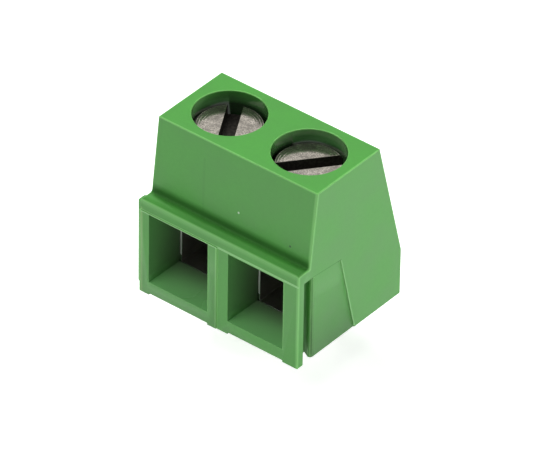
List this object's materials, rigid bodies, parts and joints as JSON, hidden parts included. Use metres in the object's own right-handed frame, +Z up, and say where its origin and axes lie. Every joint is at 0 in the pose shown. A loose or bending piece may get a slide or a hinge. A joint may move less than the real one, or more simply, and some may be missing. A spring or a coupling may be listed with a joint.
{
  "type": "pcb terminal block",
  "caption": "Screw terminal block for a circuit board: a moulded housing with tapered wire entries, captive slotted screws, rising cages and solder tails.",
  "frame": {"origin": "on the board's surface, midway between the two solder tails", "axes": "+Z up from the board, +X along the row of clamps from the tongue side to the groove side, wires enter along +Y from the -Y side"},
  "size_m": [0.0106, 0.0082, 0.0124],
  "materials": {
    "housing_green": "satin moulded polyamide",
    "plated_screw": "turned, zinc plated",
    "plated_cage": "folded strip, plated",
    "tinned_contact": "tin plated, satin"
  },
  "bodies": {
    "block": {"housing": "housing_green", "contact_1": "tinned_contact", "contact_2": "tinned_contact"},
    "screw_1": {"clamp_screw_1": "plated_screw"},
    "cage_1": {"clamp_cage_1": "plated_cage"},
    "screw_2": {"clamp_screw_2": "plated_screw"},
    "cage_2": {"clamp_cage_2": "plated_cage"}
  },
  "joints": [
    {"name": "screw_1_turn", "type": "hinge", "parent": "block", "child": "screw_1", "pos_m": [-0.0025, -0.00183, 0], "axis": [0, 0, -1], "range_deg": [0, 1920]},
    {"name": "cage_1_lift", "type": "slide", "parent": "block", "child": "cage_1", "axis": [0, 0, 1], "range_m": [0, 0.0024]},
    {"name": "screw_2_turn", "type": "hinge", "parent": "block", "child": "screw_2", "pos_m": [0.0025, -0.00183, 0], "axis": [0, 0, -1], "range_deg": [0, 1920]},
    {"name": "cage_2_lift", "type": "slide", "parent": "block", "child": "cage_2", "axis": [0, 0, 1], "range_m": [0, 0.0024]}
  ],
  "couplings": [
    {"joint": "screw_1_turn", "follows": "cage_1_lift", "rad_per_m": 13963},
    {"joint": "screw_2_turn", "follows": "cage_2_lift", "rad_per_m": 13963}
  ]
}
